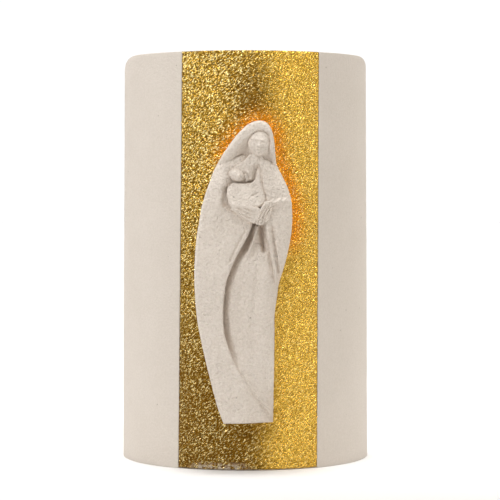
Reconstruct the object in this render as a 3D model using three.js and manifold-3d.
// A half-round fireclay wall tile with a gilded band down its front and a relief of a
// veiled mother and child luted onto the gold. It stands on its foot, or hangs from a nail
// in the keyhole of the clay bar across its open back.
//
// Millimetres, +Z up, front towards -Y, origin under the middle of the bounding box.

import * as THREE from "three";
import { mergeVertices } from "three/addons/utils/BufferGeometryUtils.js";
import Module from "manifold-3d";

// ---------------------------------------------------------------- tile
const HEIGHT = 175;
const FOOT_RADIUS = 54.1; // outer radius of the half-round wall at the foot
const TOP_RADIUS = 53.2; // the wall draws in a little towards the top
const WALL = 7;
const RIM_ROUND = 1.2; // sponged edge of the foot and the top rim
const END_CHAMFER = 1.5; // sponged edges of the two upright ends
const TOP_FALL = 5; // how far the top rim drops at the two ends
const TOP_FALL_RUN = 22; // over this distance from the back plane
const FOOT_CORNER = 4; // rounded bottom corner of each end
const ARC_STEPS = 24;
const CURVE_STEPS = 2; // between two points of a smooth outline

// ---------------------------------------------------------------- gilded band
const BAND_HALF_ANGLE = THREE.MathUtils.degToRad(32.8);
const BAND_THICKNESS = 0.8;
const BAND_ROUND = 0.25;
const BAND_FOOT_CLEARANCE = 0.4; // the gold stops just above the surface it stands on

// ---------------------------------------------------------------- hanging bar
const BAR_HEIGHT = 22;
const BAR_CENTRE_Z = 150;
const BAR_FRONT = 11; // distances in front of the back plane
const BAR_BACK = 2;
const KEYHOLE_ENTRY_RADIUS = 4.6;
const KEYHOLE_SLOT_RADIUS = 2.6;
const KEYHOLE_DROP = 4.5; // entry hole below the bar's middle
const KEYHOLE_RISE = 3.5; // seat of the nail above the bar's middle

// ---------------------------------------------------------------- figure
const SEAM = 0.34; // dry gap left between two pieces that are luted together
const FOOT_OF_FIGURE = 20.5;
const FIGURE_PROUD = 11; // the child stands furthest out in front of the tile
const DEPTH_INTO_TILE = 14; // prisms start this far behind the tile's front line

// Heights of the front faces above the tile's front line.
const RELIEF = {
  robe: 5.2,
  mantleLeft: 8.5,
  mantleRight: 7.6,
  bodice: 5.6,
  veil: 7.6,
  head: 8.6,
  childHead: 10,
  childWrap: FIGURE_PROUD,
  rightHand: 9.4,
  leftHand: 10.4,
};

// Corners that several pieces share, as [x, z].
const LEFT_SHOULDER = [-14.2, 126.2];
const RIGHT_SHOULDER = [10.6, 127.8];
const NECK_LEFT = [0.3, 132];
const NECK_RIGHT = [4.4, 130.2];
const SHOULDER_FOLD = [-8.7, 129];
const WRAP_CORNER = [-9.6, 121.4];
const WRAP_TIP = [1.8, 124.8];
const CREASE_TOP = [4.4, 125.2];
const WRAP_FOOT = [-8.7, 109.8];
const HANDS_FOOT = [0.5, 103.2];
const HANDS_TOP = [3.1, 109.6];
const CUFF = [6.6, 111.4];
const LAPPET_TOP = [5.8, 102.4];
const LAPPET_FOOT = [9.9, 76.4];
const HEM_TIP = [11.6, 76];
const FOOT_LEFT = [-11.2, FOOT_OF_FIGURE];
const FOOT_RIGHT = [9.5, FOOT_OF_FIGURE];
const EDGE_FOOT = [8.2, FOOT_OF_FIGURE];

// Outline of the figure, each stretch from its lower to its upper end.
const MANTLE_OUTLINE = [FOOT_LEFT, [-13.9, 28], [-18.7, 47], [-22.3, 65], [-23.1, 79],
  [-22.2, 97], [-19.3, 113.5], LEFT_SHOULDER];
const VEIL_OUTLINE = [LEFT_SHOULDER, [-9.8, 134], [-4.4, 141], [0.6, 144.8], [3.6, 145.4],
  [7.4, 144], [9.6, 138.5], [10.1, 132.5], RIGHT_SHOULDER];
const RIGHT_OUTLINE = [HEM_TIP, [13.6, 84], [16.4, 96.5], [17.3, 106], [16.8, 113.3],
  [13.5, 122], RIGHT_SHOULDER];
const ROBE_OUTLINE = [FOOT_RIGHT, [9.9, 50], [10.1, 66], HEM_TIP];

// Creases between the pieces, each from its upper to its lower end.
const MANTLE_EDGE = [HANDS_FOOT, [-1.6, 97], [-6.2, 88.6], [-10.2, 78.5], [-11.4, 66],
  [-10.3, 55.5], [-6.2, 44.6], [-1, 36.3], [5.5, 26.6], EDGE_FOOT];
const LAPPET_EDGE = [LAPPET_TOP, [6.5, 99], [7.7, 92], [9, 84.6], LAPPET_FOOT];
const BREAST_CREASE = [CREASE_TOP, [4.6, 120], [5.6, 116], CUFF];
const WRAP_SIDE = [WRAP_CORNER, [-10.1, 116], [-9.6, 113], WRAP_FOOT];
const MANTLE_TOP = [WRAP_FOOT, [-4, 106.5], HANDS_FOOT];

// Creases that run across, each from left to right.
const COLLAR = [SHOULDER_FOLD, [-3.5, 131.3], NECK_LEFT];
const FACE_EDGE = [NECK_LEFT, [-1.2, 135], [-0.7, 139.2], [2.6, 141.6], [6.6, 140.6],
  [7.9, 136.5], [7.2, 133], NECK_RIGHT];
const VEIL_HEM = [NECK_RIGHT, [7.5, 128.4], RIGHT_SHOULDER];
const WRAP_RIM = [WRAP_CORNER, [-6.8, 119.8], [-3.2, 119.4], [0.4, 120.8], WRAP_TIP];

// Corners of the two hands that no other piece shares.
const LEFT_WRIST = [[8.6, 110.6], [9, 104.2], [7.6, 102.4]];
const CHILD_HEAD = {
  centre: [-5.6, 123.9],
  halfWidth: 3.6,
  halfHeight: 3,
  tilt: 0.25, // anticlockwise, in radians
  edge: 2,
  back: 6,
};

const COLOURS = { clay: 0xd9d0c6, gold: 0xc79a3c };

const wasm = await Module();
wasm.setup();

// ---------------------------------------------------------------- solids and geometry

/** A closed three.js geometry as a solid that can be cut and joined. */
function toSolid(geometry) {
  const bare = geometry.index ? geometry.toNonIndexed() : geometry.clone();
  bare.deleteAttribute("normal");
  bare.deleteAttribute("uv");
  const merged = mergeVertices(bare, 1e-4);
  return new wasm.Manifold(
    new wasm.Mesh({
      numProp: 3,
      vertProperties: merged.attributes.position.array,
      triVerts: new Uint32Array(merged.index.array),
    }),
  );
}

/** A solid back as a three.js geometry. */
function toGeometry(solid) {
  const mesh = solid.getMesh();
  const geometry = new THREE.BufferGeometry();
  geometry.setAttribute("position", new THREE.BufferAttribute(mesh.vertProperties, 3));
  geometry.setIndex(new THREE.BufferAttribute(mesh.triVerts, 1));
  geometry.computeVertexNormals();
  return geometry;
}

/** Outer radius of the tile at height z. */
const tileRadius = (z) => FOOT_RADIUS + ((TOP_RADIUS - FOOT_RADIUS) * z) / HEIGHT;

/** Draws a shape made at the foot's radius in towards the top, as the wall does. */
function taper(geometry) {
  const position = geometry.attributes.position;
  for (let i = 0; i < position.count; i += 1) {
    const scale = tileRadius(position.getZ(i)) / FOOT_RADIUS;
    position.setXY(i, position.getX(i) * scale, position.getY(i) * scale);
  }
  return geometry;
}

/** A solid round bar on the tile's axis, standing `offset` outside its outer face. */
function tileCone(offset) {
  const margin = 10;
  const cone = new THREE.CylinderGeometry(
    tileRadius(HEIGHT + margin) + offset,
    tileRadius(-margin) + offset,
    HEIGHT + 2 * margin,
    4 * ARC_STEPS,
  );
  cone.rotateX(Math.PI / 2).translate(0, 0, HEIGHT / 2);
  return toSolid(cone);
}

// ---------------------------------------------------------------- tile

/** Plan of the half-round wall. */
function tilePlan() {
  const inner = FOOT_RADIUS - WALL;
  const lip = END_CHAMFER / FOOT_RADIUS;
  const plan = new THREE.Shape();
  plan.absarc(0, 0, FOOT_RADIUS, Math.PI + lip, 2 * Math.PI - lip, false);
  plan.lineTo(FOOT_RADIUS - END_CHAMFER, 0);
  plan.lineTo(inner + END_CHAMFER, 0);
  plan.absarc(0, 0, inner, 2 * Math.PI - lip, Math.PI + lip, true);
  plan.lineTo(-inner - END_CHAMFER, 0);
  plan.lineTo(-FOOT_RADIUS + END_CHAMFER, 0);
  plan.closePath();
  return plan;
}

/** Plan of a strip along the front of the tile, `halfAngle` to each side of the middle. */
function stripPlan(halfAngle, innerRadius, outerRadius) {
  const front = 1.5 * Math.PI;
  const plan = new THREE.Shape();
  plan.absarc(0, 0, outerRadius, front - halfAngle, front + halfAngle, false);
  plan.absarc(0, 0, innerRadius, front + halfAngle, front - halfAngle, true);
  plan.closePath();
  return plan;
}

/** The room for the gilded band, running past both rims. */
function bandSeat() {
  const spare = 5;
  const seat = new THREE.ExtrudeGeometry(
    stripPlan(
      BAND_HALF_ANGLE + SEAM / FOOT_RADIUS,
      FOOT_RADIUS - BAND_THICKNESS - SEAM,
      FOOT_RADIUS + spare,
    ),
    { depth: HEIGHT + 2 * spare, curveSegments: ARC_STEPS, bevelEnabled: false },
  );
  seat.translate(0, 0, -spare);
  return toSolid(taper(seat));
}

/** Cuts away what a side outline, given as [distance in front of the back plane, z], holds. */
function sideCutter(outline) {
  const width = 2.4 * FOOT_RADIUS;
  const cutter = new THREE.ExtrudeGeometry(outline, { depth: width, bevelEnabled: false });
  // The outline's x runs forward, to -Y, its y runs up, and the extrusion runs across.
  const across = new THREE.Matrix4().makeBasis(
    new THREE.Vector3(0, -1, 0),
    new THREE.Vector3(0, 0, 1),
    new THREE.Vector3(-1, 0, 0),
  );
  cutter.applyMatrix4(across).translate(width / 2, 0, 0);
  return toSolid(cutter);
}

/** The half-round fireclay wall. */
function clayTile() {
  const wall = new THREE.ExtrudeGeometry(tilePlan(), {
    depth: HEIGHT - 2 * RIM_ROUND,
    curveSegments: 2 * ARC_STEPS,
    bevelThickness: RIM_ROUND,
    bevelSize: RIM_ROUND,
    bevelOffset: -RIM_ROUND,
    bevelSegments: 2,
  });
  wall.translate(0, 0, RIM_ROUND);

  const spare = 5; // the cutters run past the clay
  const topFall = new THREE.Shape();
  topFall.moveTo(-spare, HEIGHT - TOP_FALL);
  topFall.lineTo(0, HEIGHT - TOP_FALL);
  topFall.quadraticCurveTo(TOP_FALL_RUN / 2, HEIGHT, TOP_FALL_RUN, HEIGHT);
  topFall.lineTo(TOP_FALL_RUN, HEIGHT + spare);
  topFall.lineTo(-spare, HEIGHT + spare);
  topFall.closePath();

  const footCorner = new THREE.Shape();
  footCorner.moveTo(-spare, -spare);
  footCorner.lineTo(FOOT_CORNER, -spare);
  footCorner.lineTo(FOOT_CORNER, 0);
  footCorner.absarc(FOOT_CORNER, FOOT_CORNER, FOOT_CORNER, 1.5 * Math.PI, Math.PI, true);
  footCorner.lineTo(-spare, FOOT_CORNER);
  footCorner.closePath();

  return toSolid(taper(wall))
    .subtract(sideCutter(topFall))
    .subtract(sideCutter(footCorner))
    .subtract(bandSeat());
}

/** The textured ground of the band, which carries the gold leaf. */
function gildedBand() {
  const plan = stripPlan(BAND_HALF_ANGLE, FOOT_RADIUS - BAND_THICKNESS, FOOT_RADIUS);
  const band = new THREE.ExtrudeGeometry(plan, {
    depth: HEIGHT - BAND_FOOT_CLEARANCE - 2 * BAND_ROUND,
    curveSegments: ARC_STEPS,
    bevelThickness: BAND_ROUND,
    bevelSize: BAND_ROUND,
    bevelOffset: -BAND_ROUND,
    bevelSegments: 1,
  });
  band.translate(0, 0, BAND_ROUND + BAND_FOOT_CLEARANCE);
  return toSolid(taper(band));
}

/** Outline of the keyhole: a round entry with a narrower slot rising from it. */
function keyholePlan() {
  // The entry's arc stops where the two sides of the slot leave it.
  const slotAngle = Math.asin(KEYHOLE_SLOT_RADIUS / KEYHOLE_ENTRY_RADIUS);
  const plan = new THREE.Shape();
  plan.absarc(0, -KEYHOLE_DROP, KEYHOLE_ENTRY_RADIUS, Math.PI / 2 + slotAngle,
    2.5 * Math.PI - slotAngle, false);
  plan.absarc(0, KEYHOLE_RISE, KEYHOLE_SLOT_RADIUS, 0, Math.PI, false);
  plan.closePath();
  return plan;
}

/** The clay bar luted across the open back, with a keyhole for the nail. */
function hangingBar() {
  const edge = 1;
  const plan = new THREE.Shape();
  plan.moveTo(-FOOT_RADIUS, -BAR_HEIGHT / 2);
  plan.lineTo(FOOT_RADIUS, -BAR_HEIGHT / 2);
  plan.lineTo(FOOT_RADIUS, BAR_HEIGHT / 2);
  plan.lineTo(-FOOT_RADIUS, BAR_HEIGHT / 2);
  plan.closePath();
  const blank = new THREE.ExtrudeGeometry(plan, {
    depth: BAR_FRONT - BAR_BACK - 2 * edge,
    bevelThickness: edge,
    bevelSize: edge,
    bevelOffset: -edge,
    bevelSegments: 2,
  });
  blank.rotateX(Math.PI / 2).translate(0, -BAR_BACK - edge, BAR_CENTRE_Z);
  const keyhole = new THREE.ExtrudeGeometry(keyholePlan(), {
    depth: 2 * BAR_FRONT,
    curveSegments: ARC_STEPS / 2,
    bevelEnabled: false,
  });
  keyhole.rotateX(Math.PI / 2).translate(0, BAR_BACK, BAR_CENTRE_Z);
  return toSolid(blank).subtract(toSolid(keyhole)).intersect(tileCone(-WALL - SEAM));
}

// ---------------------------------------------------------------- figure

/** Straight-sided stretch of an outline. */
const corners = (...points) => points.map(([x, z]) => new THREE.Vector2(x, z));

/** Points along a smooth curve through [x, z] points, without its last point. */
function along(points) {
  const spline = new THREE.SplineCurve(corners(...points));
  return spline.getPoints((points.length - 1) * CURVE_STEPS).slice(0, -1);
}

/** The same curve run from its other end, so that two neighbours share it exactly. */
const reversed = (points) => along([...points].reverse());

/**
 * One pressed piece of the figure: an outline in the front view, its front face `front` above
 * the tile's front line with a rounded edge, and its back on the tile or at `back`.
 */
function reliefPiece({ outline, front, edge, back }) {
  const backDepth = back === undefined ? -DEPTH_INTO_TILE : back;
  const blank = new THREE.ExtrudeGeometry(new THREE.Shape(outline), {
    depth: front - backDepth - edge,
    curveSegments: 1,
    bevelThickness: edge,
    bevelSize: edge,
    bevelOffset: -edge - SEAM / 2,
    bevelSegments: 3,
  });
  // The shape's x and y become X and Z, and the extrusion runs towards the viewer, to -Y.
  blank.rotateX(Math.PI / 2).translate(0, -FOOT_RADIUS - backDepth, 0);
  const solid = toSolid(blank);
  if (back === undefined) return solid.subtract(tileCone(SEAM));
  const behind = new THREE.BoxGeometry(2 * FOOT_RADIUS, FOOT_RADIUS, HEIGHT);
  behind.translate(0, -FOOT_RADIUS / 2 - backDepth, HEIGHT / 2);
  return solid.subtract(toSolid(behind));
}

/** The child's head, an oval cushion resting on the bodice. */
function childHead() {
  const { centre, halfWidth, halfHeight, tilt, edge, back } = CHILD_HEAD;
  const oval = new THREE.EllipseCurve(...centre, halfWidth, halfHeight, 0, 2 * Math.PI, false, tilt);
  return reliefPiece({
    outline: oval.getPoints(ARC_STEPS).slice(0, -1),
    front: RELIEF.childHead,
    edge,
    back,
  });
}

const figure = {
  mantle_left: reliefPiece({
    outline: [
      ...along(MANTLE_OUTLINE),
      ...corners(LEFT_SHOULDER, SHOULDER_FOLD),
      ...along(WRAP_SIDE),
      ...along(MANTLE_TOP),
      ...along(MANTLE_EDGE),
      ...corners(EDGE_FOOT),
    ],
    front: RELIEF.mantleLeft,
    edge: 0.8,
  }),
  bodice: reliefPiece({
    outline: [
      ...along(COLLAR),
      ...corners(NECK_LEFT, NECK_RIGHT, CREASE_TOP),
      ...reversed(WRAP_RIM),
      ...corners(WRAP_CORNER),
    ],
    front: RELIEF.bodice,
    edge: 0.5,
  }),
  mantle_right: reliefPiece({
    outline: [
      ...corners(NECK_RIGHT),
      ...along(BREAST_CREASE),
      ...corners(CUFF, ...LEFT_WRIST),
      ...along(LAPPET_EDGE),
      ...corners(LAPPET_FOOT),
      ...along(RIGHT_OUTLINE),
      ...reversed(VEIL_HEM),
    ],
    front: RELIEF.mantleRight,
    edge: 0.5,
  }),
  robe: reliefPiece({
    outline: [
      ...reversed(MANTLE_EDGE),
      ...corners(HANDS_FOOT),
      ...along(LAPPET_EDGE),
      ...corners(LAPPET_FOOT),
      ...reversed(ROBE_OUTLINE),
      ...corners(FOOT_RIGHT),
    ],
    front: RELIEF.robe,
    edge: 0.4,
  }),
  veil: reliefPiece({
    outline: [
      ...along(VEIL_OUTLINE),
      ...reversed(VEIL_HEM),
      ...reversed(FACE_EDGE),
      ...reversed(COLLAR),
      ...corners(SHOULDER_FOLD),
    ],
    front: RELIEF.veil,
    edge: 0.4,
  }),
  mother_head: reliefPiece({
    outline: [...along(FACE_EDGE), ...corners(NECK_RIGHT)],
    front: RELIEF.head,
    edge: 1.6,
  }),
  child_head: childHead(),
  child_wrap: reliefPiece({
    outline: [
      ...along(WRAP_RIM),
      ...corners(WRAP_TIP),
      ...along(BREAST_CREASE),
      ...corners(CUFF, HANDS_TOP),
      ...reversed(WRAP_SIDE),
    ],
    front: RELIEF.childWrap,
    edge: 0.6,
  }),
  right_hand: reliefPiece({
    outline: [...corners(WRAP_FOOT, HANDS_TOP), ...reversed(MANTLE_TOP)],
    front: RELIEF.rightHand,
    edge: 0.6,
  }),
  left_hand: reliefPiece({
    outline: corners(HANDS_FOOT, HANDS_TOP, CUFF, ...LEFT_WRIST, LAPPET_TOP),
    front: RELIEF.leftHand,
    edge: 0.6,
  }),
};

// ---------------------------------------------------------------- assembly

const clay = new THREE.MeshStandardMaterial({ color: COLOURS.clay, roughness: 0.95 });
const gold = new THREE.MeshStandardMaterial({ color: COLOURS.gold, roughness: 0.35, metalness: 1 });

/** A named mesh of a solid. */
function piece(name, solid, material) {
  const mesh = new THREE.Mesh(toGeometry(solid), material);
  mesh.name = name;
  return mesh;
}

const relief = new THREE.Group();
relief.name = "madonna_relief";
relief.add(piece("clay_tile", clayTile(), clay));
relief.add(piece("gilded_band", gildedBand(), gold));
relief.add(piece("hanging_bar", hangingBar(), clay));
for (const [name, solid] of Object.entries(figure)) {
  relief.add(piece(name, solid, clay));
}
// The tile's axis lies in its back plane; the bounding box is centred on the origin instead.
relief.children.forEach((mesh) => mesh.position.setY((FOOT_RADIUS + FIGURE_PROUD) / 2));

export default relief;
